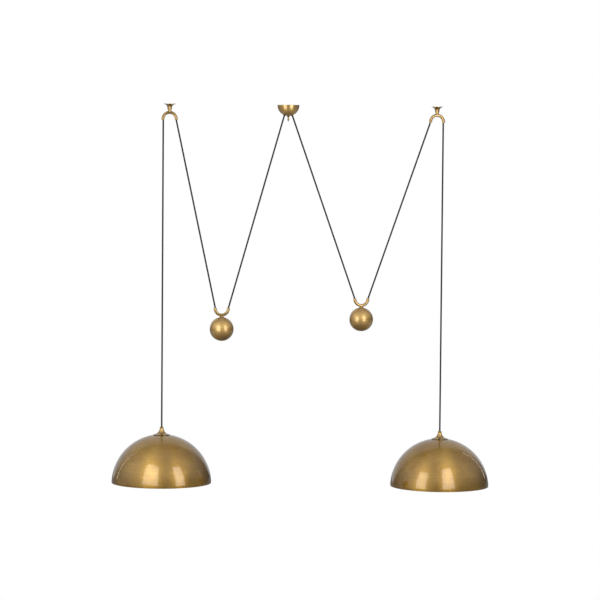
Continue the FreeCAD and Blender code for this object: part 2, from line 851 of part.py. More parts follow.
def make_taut_cords(side, sign):
    """The straight stretches: canopy to ball, ball to hook, and hook to shade."""
    yoke = vector(size(side + "_ball_x") * sign, -size(side + "_ball_depth") + yoke_height)
    hook = vector(size(side + "_hook_x") * sign, -size("hook_length"))
    exit_point = vector(size("cord_offset") * sign, -cord_exit_depth)

    inner_mouth = bend_ends(SIZES[side + "_inner_lean"], SIZES["yoke_tail"])[1]
    yoke_inner = yoke + FreeCAD.Vector(-sign * inner_mouth.x, 0, -inner_mouth.z)
    sweep_cord(side + "_inner_leg", Part.Wire(Part.LineSegment(exit_point, yoke_inner).toShape()))

    outer_mouth = bend_ends(SIZES[side + "_outer_lean"], SIZES["yoke_tail"])[1]
    yoke_outer = yoke + FreeCAD.Vector(sign * outer_mouth.x, 0, -outer_mouth.z)
    hook_mouth = bend_ends(SIZES[side + "_outer_lean"], SIZES["hook_inner_tail"])[1]
    hook_inner = hook + FreeCAD.Vector(-sign * hook_mouth.x, 0, hook_mouth.z)
    sweep_cord(side + "_outer_leg", Part.Wire(Part.LineSegment(hook_inner, yoke_outer).toShape()))

    drop_top = hook + FreeCAD.Vector(sign * SIZES["cord_bend_radius"], 0, -SIZES["hook_outer_tail"])
    entry_low = drop_top - UP * SIZES["entry_length"]
    drop_low = FreeCAD.Vector(drop_top.x, 0, cone_top(side).value)
    sweep_cord(side + "_drop_entry", Part.Wire(Part.LineSegment(drop_top, entry_low).toShape()))
    sweep_cord(side + "_drop_cord", Part.Wire(Part.LineSegment(entry_low, drop_low).toShape()))
    for name, point in (("canopy exit", exit_point), ("hook inner mouth", hook_inner), ("drop top", drop_top)):
        print("{} {}: ({:.3f}, {:.3f}, {:.3f})".format(side, name, *point))


# ---------------------------------------------------------------- shades


def apex(side):
    """The height of a dome's top."""
    return size("dome_height") - size(side + "_rim_depth")


def cone_top(side):
    return apex(side) - cone_seat() + size("cone_height")


def drop_x(side, sign):
    return (size(side + "_hook_x") + size("cord_bend_radius")) * sign


def make_shade(side, sign):
    """A dome hung by a trumpet cone and a threaded tube, with the lampholder under it."""
    x = drop_x(side, sign)
    top = apex(side)

    def done(thing, label):
        place(thing, x, 0, top)
        finish(thing, side + "_" + label)

    done(make_dome(side), "shade_dome")
    cone = make_cone(side)
    place(cone, x, 0, top - cone_seat())
    finish(cone, side + "_cord_cone")

    thread = size("nipple_radius")
    nipple_high = size("cone_thread_depth") - 1
    done(turned(side + "_nipple_turning", [
        (size("nipple_bore"), nipple_high - size("nipple_length")),
        (thread, nipple_high - size("nipple_length")),
        (thread, nipple_high),
        (size("nipple_bore"), nipple_high),
    ]), "threaded_tube")

    done(turned(side + "_washer_pressing", [
        (thread + size("thread_clearance"), -washer_low()),
        (size("dome_washer_radius"), -washer_low()),
        (size("dome_washer_radius"), size("dome_washer_thickness") - washer_low()),
        (thread + size("thread_clearance"), size("dome_washer_thickness") - washer_low()),
    ]), "dome_washer")

    nut = hex_nut(
        side + "_lock_nut_cut", size("lock_nut_flats"), size("lock_nut_height"),
        thread + size("thread_clearance"), x, top - holder_top())
    finish(nut, side + "_lock_nut")

    make_lampholder(side, done)
    tail_top = vector(x, cone_top(side))
    tail_low = vector(x, top - holder_top() - size("cap_height"))
    sweep_cord(side + "_shade_tail", Part.Wire(Part.LineSegment(tail_top, tail_low).toShape()))


def dome_sphere():
    """The radius of the sphere that the dome is part of."""
    rise = size("dome_height") - size("rim_band")
    return (size("dome_radius") * size("dome_radius") + rise * rise) / (rise * 2)


def dome_sag(distance):
    """How far the dome has dropped at a distance from its axis."""
    return dome_sphere() - height_on_sphere(dome_sphere(), distance)


def cone_seat():
    """The depth below the dome's top of the hole's edge, which the cone stands on."""
    return dome_sag(size("nipple_radius") + size("thread_clearance"))


def washer_low():
    """The depth below the dome's top of the inner washer's lower face."""
    inner_sphere = dome_sphere() - size("dome_wall")
    sag = inner_sphere - height_on_sphere(inner_sphere, size("dome_washer_radius"))
    return size("dome_wall") + sag + size("dome_washer_thickness")


def holder_top():
    """The depth below the dome's top of the lock nut's lower face, where the lampholder starts."""
    return washer_low() + size("lock_nut_height")


def make_dome(side):
    """A spun dome with a short upright band at the rim, whose edge is folded inwards."""
    outer = size("dome_radius")
    inner = outer - size("dome_wall")
    sphere = dome_sphere()
    inner_sphere = sphere - size("dome_wall")
    hole = size("nipple_radius") + size("thread_clearance")
    middle = -sphere
    band_top = size("rim_band") - size("dome_height")
    rim = -size("dome_height")
    return turned(side + "_dome_spinning", [
        (hole, middle + height_on_sphere(inner_sphere, hole)),
        (inner, middle + height_on_sphere(inner_sphere, inner)),
        (inner, rim + size("dome_wall")),
        (inner - size("rim_fold"), rim + size("dome_wall")),
        (inner - size("rim_fold"), rim),
        (outer, rim),
        (outer, band_top),
        (hole, middle + height_on_sphere(sphere, hole)),
    ], {0: (inner_sphere, -1), 6: (sphere, 1)})


def make_cone(side):
    """The turned trumpet that takes the cord into the dome: a thin flange, a flare and a collar."""
    bore = cord_radius + size("cord_clearance")
    thread = size("nipple_radius") + size("thread_clearance")
    collar_low = size("cone_height") - size("cone_collar_height")
    return turned(side + "_cone_turning", [
        (thread, 0),
        (size("dome_washer_radius"), 0),
        (size("cone_flange_radius"), -size("cone_dish")),
        (size("cone_flange_radius"), size("cone_flange_edge") - size("cone_dish")),
        (size("cone_waist_radius"), size("cone_waist_height")),
        (size("cone_collar_radius"), collar_low),
        (size("cone_collar_radius"), size("cone_height")),
        (bore, size("cone_height")),
        (bore, size("cone_thread_depth")),
        (thread, size("cone_thread_depth")),
    ], {3: (size("cone_flare_radius"), -1), 4: (size("cone_neck_radius"), -1)})


def make_lampholder(side, done):
    """A metal-cased lampholder: cap, skirt, porcelain insert, screw shell, contact and cord clamp."""
    thread = size("nipple_radius") + size("thread_clearance")
    wall = size("holder_wall")
    outer = size("holder_radius")
    inner = outer - wall
    cap_top = -holder_top()
    cap_low = cap_top - size("cap_height")
    shoulder = cap_top - size("cap_shoulder")

    done(turned(side + "_cap_pressing", [
        (thread, cap_top),
        (size("holder_neck_radius"), cap_top),
        (outer, shoulder),
        (outer, cap_low),
        (inner, cap_low),
        (inner, shoulder - wall / 2),
        (size("holder_neck_radius"), cap_top - size("cap_roof")),
        (thread, cap_top - size("cap_roof")),
    ]), "lampholder_cap")

    skirt_low = cap_low - size("skirt_height")
    mouth = inner - size("skirt_lip")
    done(turned(side + "_skirt_pressing", [
        (inner, cap_low),
        (outer, cap_low),
        (outer, skirt_low),
        (mouth, skirt_low),
        (mouth, skirt_low + wall),
        (inner, skirt_low + wall),
    ]), "lampholder_skirt")

    insert = inner - size("insert_clearance")
    shell = size("shell_bore") + size("shell_wall")
    cavity = insert - size("insert_wall")
    well_floor = cap_low - size("insert_floor")
    floor = well_floor - size("well_depth")
    insert_low = skirt_low + wall
    done(turned(side + "_insert_casting", [
        (0, cap_low),
        (insert, cap_low),
        (insert, insert_low),
        (cavity, insert_low),
        (cavity, floor),
        (size("well_radius"), floor),
        (size("well_radius"), well_floor),
        (0, well_floor),
    ]), "lampholder_insert")

    done(turned(side + "_shell_pressing", [
        (size("shell_bore"), floor),
        (shell, floor),
        (shell, floor - size("shell_height")),
        (size("shell_bore"), floor - size("shell_height")),
    ]), "screw_shell")

    done(turned(side + "_contact_pressing", [
        (0, well_floor),
        (size("contact_radius"), well_floor),
        (size("contact_radius") / 2, well_floor - size("contact_height")),
        (0, well_floor - size("contact_height")),
    ]), "centre_contact")

    clamp_top = size("cone_thread_depth") - 1 - size("nipple_length")
    done(turned(side + "_clamp_moulding", [
        (cord_radius + size("socket_clearance"), clamp_top),
        (size("clamp_radius"), clamp_top),
        (size("clamp_radius"), clamp_top - size("clamp_height")),
        (cord_radius + size("socket_clearance"), clamp_top - size("clamp_height")),
    ]), "cord_clamp")


# ---------------------------------------------------------------- assembly and files


def check_document():
    """Stops when any object failed or any sub-part's solid is not sound."""
    for thing in doc.Objects:
        if "Invalid" in thing.State or "Error" in thing.State:
            raise RuntimeError("{} failed: {}".format(thing.Label, thing.State))
    for thing in finished:
        if thing.Shape.isNull() or not thing.Shape.isValid() or not thing.Shape.Solids:
            raise RuntimeError("{} has no sound solid".format(thing.Label))


make_canopy_bowl()
make_cord_bushings()
make_ceiling_bracket()
make_earth_screw()
make_terminal_housing()
make_terminal_screws()
make_canopy_rod()
for side, sign in SIDES.items():
    make_supply_tail(side, sign)
    make_hook(side, sign)
    make_counterweight(side, sign)
    make_taut_cords(side, sign)
    make_shade(side, sign)
doc.recompute()
check_document()

os.makedirs("parts", exist_ok=True)
for thing in finished:
    thing.Shape.exportStep(os.path.join("parts", thing.Label + ".step"))
    print("{}: {} solid(s), {:.0f} mm3".format(thing.Label, len(thing.Shape.Solids), thing.Shape.Volume))
print("{} sub-parts".format(len(finished)))
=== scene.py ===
"""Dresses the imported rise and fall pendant: braided cords, brass finishes, light, floor and camera.

Everything is in metres, in the frame of the CAD model: the origin is the middle of the canopy on
the ceiling, +Z is up, and the two ceiling hooks lie along X.
"""

import logging
import math
from dataclasses import dataclass
from enum import Enum
from typing import Any

import bpy
from mathutils import Matrix, Vector
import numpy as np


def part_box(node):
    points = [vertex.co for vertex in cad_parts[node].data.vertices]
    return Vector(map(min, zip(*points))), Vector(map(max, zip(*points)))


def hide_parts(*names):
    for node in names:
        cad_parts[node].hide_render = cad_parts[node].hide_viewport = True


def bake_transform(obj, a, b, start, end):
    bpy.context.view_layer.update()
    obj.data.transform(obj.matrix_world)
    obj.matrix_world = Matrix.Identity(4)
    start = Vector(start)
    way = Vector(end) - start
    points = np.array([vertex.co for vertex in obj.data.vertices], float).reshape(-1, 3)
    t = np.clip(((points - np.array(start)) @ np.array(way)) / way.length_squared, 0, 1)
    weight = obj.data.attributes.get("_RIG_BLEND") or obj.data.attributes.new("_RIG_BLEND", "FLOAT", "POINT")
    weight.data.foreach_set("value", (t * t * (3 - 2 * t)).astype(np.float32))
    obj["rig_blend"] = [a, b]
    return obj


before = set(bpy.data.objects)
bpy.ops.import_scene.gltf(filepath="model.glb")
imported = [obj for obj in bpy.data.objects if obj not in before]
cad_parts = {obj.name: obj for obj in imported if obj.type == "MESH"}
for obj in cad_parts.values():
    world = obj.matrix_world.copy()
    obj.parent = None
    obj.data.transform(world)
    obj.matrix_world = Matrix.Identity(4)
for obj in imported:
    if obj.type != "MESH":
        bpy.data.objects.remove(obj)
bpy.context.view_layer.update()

log = logging.getLogger("pendant")

MM = 0.001


# ------------------------------------------------------------------------------------ colours


def linear(hex_colour: str) -> tuple[float, float, float, float]:
    """Turns an sRGB hex colour into Blender's linear colour, by the curve of the sRGB standard.

    Args:
        hex_colour: six hex digits, such as "b08a4e".

    Returns:
        Red, green, blue and an alpha of 1, linear.
    """
    channels = [int(hex_colour[i : i + 2], 16) / 255 for i in (0, 2, 4)]
    red, green, blue = (
        c / 12.92 if c <= 0.04045 else ((c + 0.055) / 1.055) ** 2.4 for c in channels
    )
    return (red, green, blue, 1.0)


# ------------------------------------------------------------------------------------ node trees


def feed(tree: bpy.types.NodeTree, node: bpy.types.Node, **values: Any) -> None:
    """Gives inputs of a node their values or links.

    Args:
        tree: the node tree.
        node: the node.
        values: an input's name, with _ for a space, or i and its number; the value is a number,
            a colour or the output socket that feeds it.
    """
    for name, value in values.items():
        numbered = name[0] == "i" and name[1:].isdigit()
        socket = node.inputs[int(name[1:]) if numbered else name.replace("_", " ")]
        if isinstance(value, bpy.types.NodeSocket):
            tree.links.new(value, socket)
        else:
            socket.default_value = value


def add_node(tree: bpy.types.NodeTree, kind: str, **details: Any) -> bpy.types.Node:
    """Adds one node with its settings, and gives its inputs their values or links.

    Args:
        tree: the node tree.
        kind: the node's type without "ShaderNode", such as "Math".
        details: a setting of the node by its own name, which is in lower case, or an input as
            feed takes it, whose name has a capital or is i and a number.

    Returns:
        The node.
    """
    node = tree.nodes.new("ShaderNode" + kind)
    inputs = {
        name: value for name, value in details.items() if name[0].isupper() or name[1:].isdigit()
    }
    for name, value in details.items():
        if name not in inputs:
            setattr(node, name, value)
    feed(tree, node, **inputs)
    return node


def new_material(name: str) -> tuple[bpy.types.Material, bpy.types.NodeTree, bpy.types.Node]:
    """Makes a material.

    Args:
        name: the material's name.

    Returns:
        The material, its node tree and its Principled shader.
    """
    material = bpy.data.materials.new(name)
    material.use_nodes = True
    return material, material.node_tree, material.node_tree.nodes["Principled BSDF"]


# ------------------------------------------------------------------------------------ metals


class TurnedForm(Enum):
    """How the turning lines of a lathe run over a piece."""

    SPHERE = "lines at even steps of angle about a middle point"
    SPINDLE = "lines at even steps of height and radius about an upright axis"


@dataclass(frozen=True)
class Metal:
    """A metal finish, turned or spun on a lathe, with a cloudy patina and a clear lacquer.

    Attributes:
        name: the material's name.
        colour: its colour.
        patina: the colour of its darker clouds.
        roughness: how dull it is.
        line_step: the spacing of the turning lines, in metres.
        line_depth: how strongly their relief shows, from 0.
        cloud_size: the width of the clouds in the patina, in metres.
        edge: the tint where the surface is seen at a low angle.
        lacquer: the strength of the clear lacquer over it, from 0.
        lacquer_roughness: how dull the lacquer is.
        lacquer_ior: its index of refraction.
        speck_size: the width of the finest specks, in metres.
        speck_share: how deep the specks are beside the turning lines.
        relief: the depth of the turning lines, in metres.
        stretch: how far the lines draw a highlight out across themselves, from 0.
        line_tint: how much the turning lines add to the clouds' colour.
        patina_range: the clouds' values at which the patina starts and is full.
        dull_range: the sums of clouds and lines between which the roughness grows.
        dull_shares: the shares of the roughness at its least and at its most.
    """

    name: str
    colour: str
    patina: str
    roughness: float
    line_step: float
    line_depth: float
    cloud_size: float
    edge: str = "9aa2b6"
    lacquer: float = 1.0
    lacquer_roughness: float = 0.08
    lacquer_ior: float = 1.55
    speck_size: float = 0.9 * MM
    speck_share: float = 0.1
    relief: float = 0.02 * MM
    stretch: float = 0.6
    line_tint: float = 0.28
    patina_range: tuple[float, float] = (0.46, 0.84)
    dull_range: tuple[float, float] = (0.6, 1.4)
    dull_shares: tuple[float, float] = (0.88, 1.15)

    def material(
        self, middle: Vector, form: TurnedForm, suffix: str = ""
    ) -> bpy.types.Material:
        """Makes the material for one piece.

        Args:
            middle: the middle of the piece's sphere, or a point on its axis.
            form: how the turning lines run.
            suffix: what is added to the material's name.

        Returns:
            The material.
        """
        material, tree, shader = new_material(self.name + suffix)
        place = add_node(tree, "TexCoord").outputs["Object"]
        local = add_node(tree, "Mapping", Vector=place, Location=tuple(-middle)).outputs[0]
        # Fine lines left by the spinning tool or the lathe.
        lines = add_node(
            tree, "TexNoise", noise_dimensions="1D", W=self.along_profile(tree, local, form),
            Scale=1 / self.line_step, Detail=3.0, Roughness=0.7,
        ).outputs[0]
        clouds = add_node(
            tree, "TexNoise", Vector=place, Scale=1 / self.cloud_size, Detail=5.0, Roughness=0.62
        ).outputs[0]
        specks = add_node(
            tree, "TexNoise", Vector=place, Scale=1 / self.speck_size, Detail=2.0, Roughness=0.6
        ).outputs[0]
        feed(
            tree, shader,
            Metallic=1.0,
            Specular_Tint=linear(self.edge),
            Coat_Weight=self.lacquer,
            Coat_Roughness=self.lacquer_roughness,
            Coat_IOR=self.lacquer_ior,
            Tangent=self.round_axis(tree, local),
            Anisotropic=self.stretch,
            # A quarter turn, from along the lines to across them.
            Anisotropic_Rotation=0.25,
            Base_Color=self.tint(tree, clouds, lines),
            Roughness=self.dullness(tree, clouds, lines),
            Normal=self.bumps(tree, lines, specks),
        )
        return material

    def along_profile(
        self, tree: bpy.types.NodeTree, local: bpy.types.NodeSocket, form: TurnedForm
    ) -> bpy.types.NodeSocket:
        """How far along the turned profile each point lies, the same all round the axis.

        Args:
            tree: the node tree.
            local: the points, from the piece's middle.
            form: how the turning lines run.

        Returns:
            The way along the profile, in metres.
        """
        split = add_node(tree, "SeparateXYZ", Vector=local).outputs
        flat = add_node(tree, "CombineXYZ", X=split["X"], Y=split["Y"]).outputs[0]
        radius = add_node(tree, "VectorMath", operation="LENGTH", i0=flat).outputs["Value"]
        if form is TurnedForm.SPINDLE:
            return add_node(
                tree, "Math", operation="SUBTRACT", i0=radius, i1=split["Z"]
            ).outputs[0]
        angle = add_node(tree, "Math", operation="ARCTAN2", i0=radius, i1=split["Z"]).outputs[0]
        distance = add_node(tree, "VectorMath", operation="LENGTH", i0=local).outputs["Value"]
        return add_node(tree, "Math", operation="MULTIPLY", i0=angle, i1=distance).outputs[0]

    def round_axis(
        self, tree: bpy.types.NodeTree, local: bpy.types.NodeSocket
    ) -> bpy.types.NodeSocket:
        """The direction round the axis at each point, in which the lathe's lines run.

        Args:
            tree: the node tree.
            local: the points, from the piece's middle.

        Returns:
            The direction.
        """
        split = add_node(tree, "SeparateXYZ", Vector=local).outputs
        back = add_node(tree, "Math", operation="MULTIPLY", i0=split["Y"], i1=-1.0).outputs[0]
        return add_node(tree, "CombineXYZ", X=back, Y=split["X"]).outputs[0]

    def tint(
        self, tree: bpy.types.NodeTree, clouds: bpy.types.NodeSocket, lines: bpy.types.NodeSocket
    ) -> bpy.types.NodeSocket:
        """The colour: clean metal that goes over into patina.

        Args:
            tree: the node tree.
            clouds: the patina's clouds.
            lines: the turning lines.

        Returns:
            The colour.
        """
        streaks = add_node(
            tree, "Math", operation="MULTIPLY", i0=lines, i1=self.line_tint
        ).outputs[0]
        stain = add_node(tree, "Math", operation="ADD", i0=clouds, i1=streaks).outputs[0]
        start, full = self.patina_range
        share = add_node(tree, "MapRange", Value=stain, From_Min=start, From_Max=full).outputs[0]
        return add_node(
            tree, "Mix", data_type="RGBA", i0=share, i6=linear(self.colour), i7=linear(self.patina)
        ).outputs[2]

    def dullness(
        self, tree: bpy.types.NodeTree, clouds: bpy.types.NodeSocket, lines: bpy.types.NodeSocket
    ) -> bpy.types.NodeSocket:
        """The roughness, which grows a little with the clouds and the lines.

        Args:
            tree: the node tree.
            clouds: the patina's clouds.
            lines: the turning lines.

        Returns:
            The roughness.
        """
        both = add_node(tree, "Math", operation="ADD", i0=clouds, i1=lines).outputs[0]
        start, full = self.dull_range
        least, most = (self.roughness * share for share in self.dull_shares)
        return add_node(
            tree, "MapRange", Value=both, From_Min=start, From_Max=full, To_Min=least, To_Max=most
        ).outputs[0]

    def bumps(
        self, tree: bpy.types.NodeTree, lines: bpy.types.NodeSocket, specks: bpy.types.NodeSocket
    ) -> bpy.types.NodeSocket:
        """The relief of the turning lines and the finest specks.

        Args:
            tree: the node tree.
            lines: the turning lines.
            specks: the specks.

        Returns:
            The normal.
        """
        low = add_node(
            tree, "Math", operation="MULTIPLY", i0=specks, i1=self.speck_share
        ).outputs[0]
        height = add_node(tree, "Math", operation="ADD", i0=lines, i1=low).outputs[0]
        return add_node(
            tree, "Bump", Strength=self.line_depth, Distance=self.relief, Height=height
        ).outputs[0]


# Brass sheet, spun over a form, with a light brown patina under clear lacquer: soft, slightly
# cloudy reflections with a sharp gloss on top. The real turning lines are finer than the picture
# can hold, so they are drawn coarser here and on the canopy.
SPUN_BRASS = Metal(
    "spun_brass", colour="b28d40", patina="95702f", roughness=0.42,
    line_step=4 * MM, line_depth=0.1, cloud_size=90 * MM,
)
# The same sheet on the canopy, drawn in paler colours than on the domes: painted light, so the
# canopy shows brighter; smooth and even.
CANOPY_BRASS = Metal(
    "spun_brass_painted_light", colour="d8b26a", patina="c49e58", roughness=0.4,
    line_step=8 * MM, line_depth=0.0, cloud_size=60 * MM,
)
# Brass turned from bar and then polished in all directions, for the solid balls: even, with round
# soft highlights.
TURNED_BRASS = Metal(
    "turned_brass", colour="c8a360", patina="b5904e", roughness=0.46,
    line_step=4 * MM, line_depth=0.0, cloud_size=60 * MM, stretch=0.1,
)
# Drawn tube and small turned pieces, polished by hand: smaller, brighter highlights.
POLISHED_BRASS = Metal(
    "polished_brass", colour="b3924f", patina="a08144", roughness=0.26,
    line_step=0.35 * MM, line_depth=0.1, cloud_size=12 * MM,
)
# Blackened brass without lacquer, for the washer under the canopy: nearly black and dull.
BLACKENED_BRASS = Metal(
    "blackened_brass", colour="241f1b", patina="120f0d", roughness=0.42,
    line_step=0.3 * MM, line_depth=0.2, cloud_size=4 * MM, edge="ffffff", lacquer=0.0,
)
# Zinc-plated steel, for the bracket, rod, screws and nuts: bluish grey and a little dull.
ZINC_STEEL = Metal(
    "zinc_plated_steel", colour="b9bcc0", patina="9da0a4", roughness=0.34,
    line_step=0.6 * MM, line_depth=0.15, cloud_size=8 * MM, edge="ffffff", lacquer=0.0,
)


# ------------------------------------------------------------------------------------ mouldings


@dataclass(frozen=True)
class Moulding:
    """A moulded or glazed finish that isn't metal.

    Attributes:
        name: the material's name.
        colour: its colour.
        shade: a second colour, for faint unevenness.
        roughness: how dull it is.
        grain_size: the width of the surface's grain, in metres.
        grain_depth: how strongly the grain shows, from 0.
        coat: the strength of a clear glaze.
        relief: the depth of the grain, in metres.
    """

    name: str
    colour: str
    shade: str
    roughness: float
    grain_size: float
    grain_depth: float
    coat: float = 0.0
    relief: float = 0.03 * MM

    def material(self) -> bpy.types.Material:
        """Makes the material.

        Returns:
            The material.
        """
        material, tree, shader = new_material(self.name)
        place = add_node(tree, "TexCoord").outputs["Object"]
        grain = add_node(
            tree, "TexNoise", Vector=place, Scale=1 / self.grain_size, Detail=3.0
        ).outputs[0]
        tint = add_node(
            tree, "Mix", data_type="RGBA", i0=grain, i6=linear(self.colour), i7=linear(self.shade)
        ).outputs[2]
        bump = add_node(
            tree, "Bump", Strength=self.grain_depth, Distance=self.relief, Height=grain
        ).outputs[0]
        feed(
            tree, shader,
            Base_Color=tint, Roughness=self.roughness, Coat_Weight=self.coat, Normal=bump,
        )
        return material


# Black nylon, moulded in spark-eroded tools: a fine matt grain that breaks up the gloss.
BLACK_NYLON = Moulding(
    "black_nylon", colour="1b1b1d", shade="131315", roughness=0.5,
    grain_size=0.3 * MM, grain_depth=0.3,
)
# White nylon of the terminal housing: off-white, with the same grain a little coarser.
WHITE_NYLON = Moulding(
    "white_nylon", colour="e6e5df", shade="dcdbd3", roughness=0.45,
    grain_size=0.5 * MM, grain_depth=0.2,
)
# Glazed porcelain of the lampholders: milky white under a wet gloss.
PORCELAIN = Moulding(
    "glazed_porcelain", colour="ece9e1", shade="e4e0d6", roughness=0.3,
    grain_size=2.5 * MM, grain_depth=0.1, coat=0.6,
)
# The cord's sleeve where it is inside a tube or a housing and only its ends show: matt black yarn.
HIDDEN_SLEEVE = Moulding(
    "black_rayon_sleeve", colour="2c2c2e", shade="131314", roughness=0.8,
    grain_size=0.8 * MM, grain_depth=0.9,
)


# ------------------------------------------------------------------------------------ braid


@dataclass(frozen=True)
class Braid:
    """A braided textile sleeve.

    Attributes:
        name: the material's name.
        colour: the yarn's colour.
        hollow: the darker colour between the yarns, painted shade where the strands dip under each other.
        strands: how many strands run each way round the cord.
        lay: the length in which a strand goes once round, in metres.
        roughness: how matt it is.
        sheen: the strength of the loose fibres' sheen.
        sheen_roughness: how soft the sheen is.
        fibre_size: the width of the fibres, in metres.
        fibre_shade: how much of a strand's height shows where its fibres are darkest.
        relief: the height of a strand over the hollows, in metres.
        relief_depth: how strongly the relief shows, from 0.
    """

    name: str
    colour: str
    hollow: str
    strands: int
    lay: float
    roughness: float = 0.78
    sheen: float = 0.04
    sheen_roughness: float = 0.4
    fibre_size: float = 0.25 * MM
    fibre_shade: float = 0.4
    relief: float = 0.25 * MM
    relief_depth: float = 0.9

    def material(self) -> bpy.types.Material:
        """Makes the material. It reads a UV map: U once round the cord, V along it in metres.

        Returns:
            The material.
        """
        material, tree, shader = new_material(self.name)
        fibres = add_node(
            tree, "TexNoise", Vector=add_node(tree, "TexCoord").outputs["Object"],
            Scale=1 / self.fibre_size, Detail=2.0,
        ).outputs[0]
        fibres = add_node(
            tree, "Math", operation="ADD", i0=fibres, i1=self.fibre_shade
        ).outputs[0]
        height = add_node(
            tree, "Math", operation="MULTIPLY", i0=self.plaited(tree), i1=fibres
        ).outputs[0]
        # Painted shade: the colour goes darker between the strands, where they dip under each other.
        tint = add_node(
            tree, "Mix", data_type="RGBA", i0=height, i6=linear(self.hollow), i7=linear(self.colour)
        ).outputs[2]
        bump = add_node(
            tree, "Bump", Strength=self.relief_depth, Distance=self.relief, Height=height
        ).outputs[0]
        feed(
            tree, shader,
            Base_Color=tint, Roughness=self.roughness, Normal=bump,
            Sheen_Weight=self.sheen, Sheen_Roughness=self.sheen_roughness,
        )
        return material

    def plaited(self, tree: bpy.types.NodeTree) -> bpy.types.NodeSocket:
        """The height of the plait: each strand goes over one and under the next.

        Args:
            tree: the node tree.

        Returns:
            The height, from 0 between the strands to 1 on a strand's crest.
        """
        around, along = add_node(
            tree, "SeparateXYZ", Vector=add_node(tree, "UVMap").outputs[0]
        ).outputs[:2]
        turn = add_node(
            tree, "Math", operation="MULTIPLY", i0=around, i1=float(self.strands)
        ).outputs[0]
        run = add_node(
            tree, "Math", operation="MULTIPLY", i0=along, i1=self.strands / self.lay
        ).outputs[0]
        crests, counts = [], []
        for operation in ("ADD", "SUBTRACT"):
            strand = add_node(tree, "Math", operation=operation, i0=turn, i1=run).outputs[0]
            share = add_node(tree, "Math", operation="FRACT", i0=strand).outputs[0]
            offset = add_node(tree, "Math", operation="SUBTRACT", i0=share, i1=0.5).outputs[0]
            offset = add_node(tree, "Math", operation="MULTIPLY", i0=offset, i1=2.0).outputs[0]
            offset = add_node(tree, "Math", operation="ABSOLUTE", i0=offset).outputs[0]
            fall = add_node(tree, "Math", operation="POWER", i0=offset, i1=2.0).outputs[0]
            crests.append(add_node(tree, "Math", operation="SUBTRACT", i0=1.0, i1=fall).outputs[0])
            counts.append(add_node(tree, "Math", operation="FLOOR", i0=strand).outputs[0])
        crossing = add_node(
            tree, "Math", operation="ADD", i0=counts[0], i1=counts[1]
        ).outputs[0]
        over = add_node(
            tree, "Math", operation="FLOORED_MODULO", i0=crossing, i1=2.0
        ).outputs[0]
        return add_node(
            tree, "Mix", data_type="FLOAT", i0=over, i2=crests[0], i3=crests[1]
        ).outputs[0]


# A braided sleeve of dyed rayon round the cord, from sixteen carriers, so eight strands run each
# way: matt black with faint diagonal glints of yarn, and painted shade that darkens it between
# the strands.
BLACK_BRAID = Braid(
    "black_rayon_braid", colour="2c2c2e", hollow="111112", strands=8, lay=14 * MM
)


# ------------------------------------------------------------------------------------ helpers


def put_on(node: str, material: bpy.types.Material) -> None:
    """Gives a CAD node one material in all its slots.

    Args:
        node: the node's name.
        material: the material.
    """
    mesh = bpy.data.objects[node].data
    mesh.materials.clear()
    mesh.materials.append(material)
    log.info("%s: %s", node, material.name)


def middle_of(node: str) -> Vector:
    """The middle of a node's box."""
    low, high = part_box(node)
    return (Vector(low) + Vector(high)) / 2


class Side(Enum):
    """The two sides of the pendant, and the way each goes along X."""

    LEFT = -1
    RIGHT = 1

    @property
    def prefix(self) -> str:
        """The start of its nodes' names."""
        return self.name.lower() + "_"


# ------------------------------------------------------------------------------------ cords


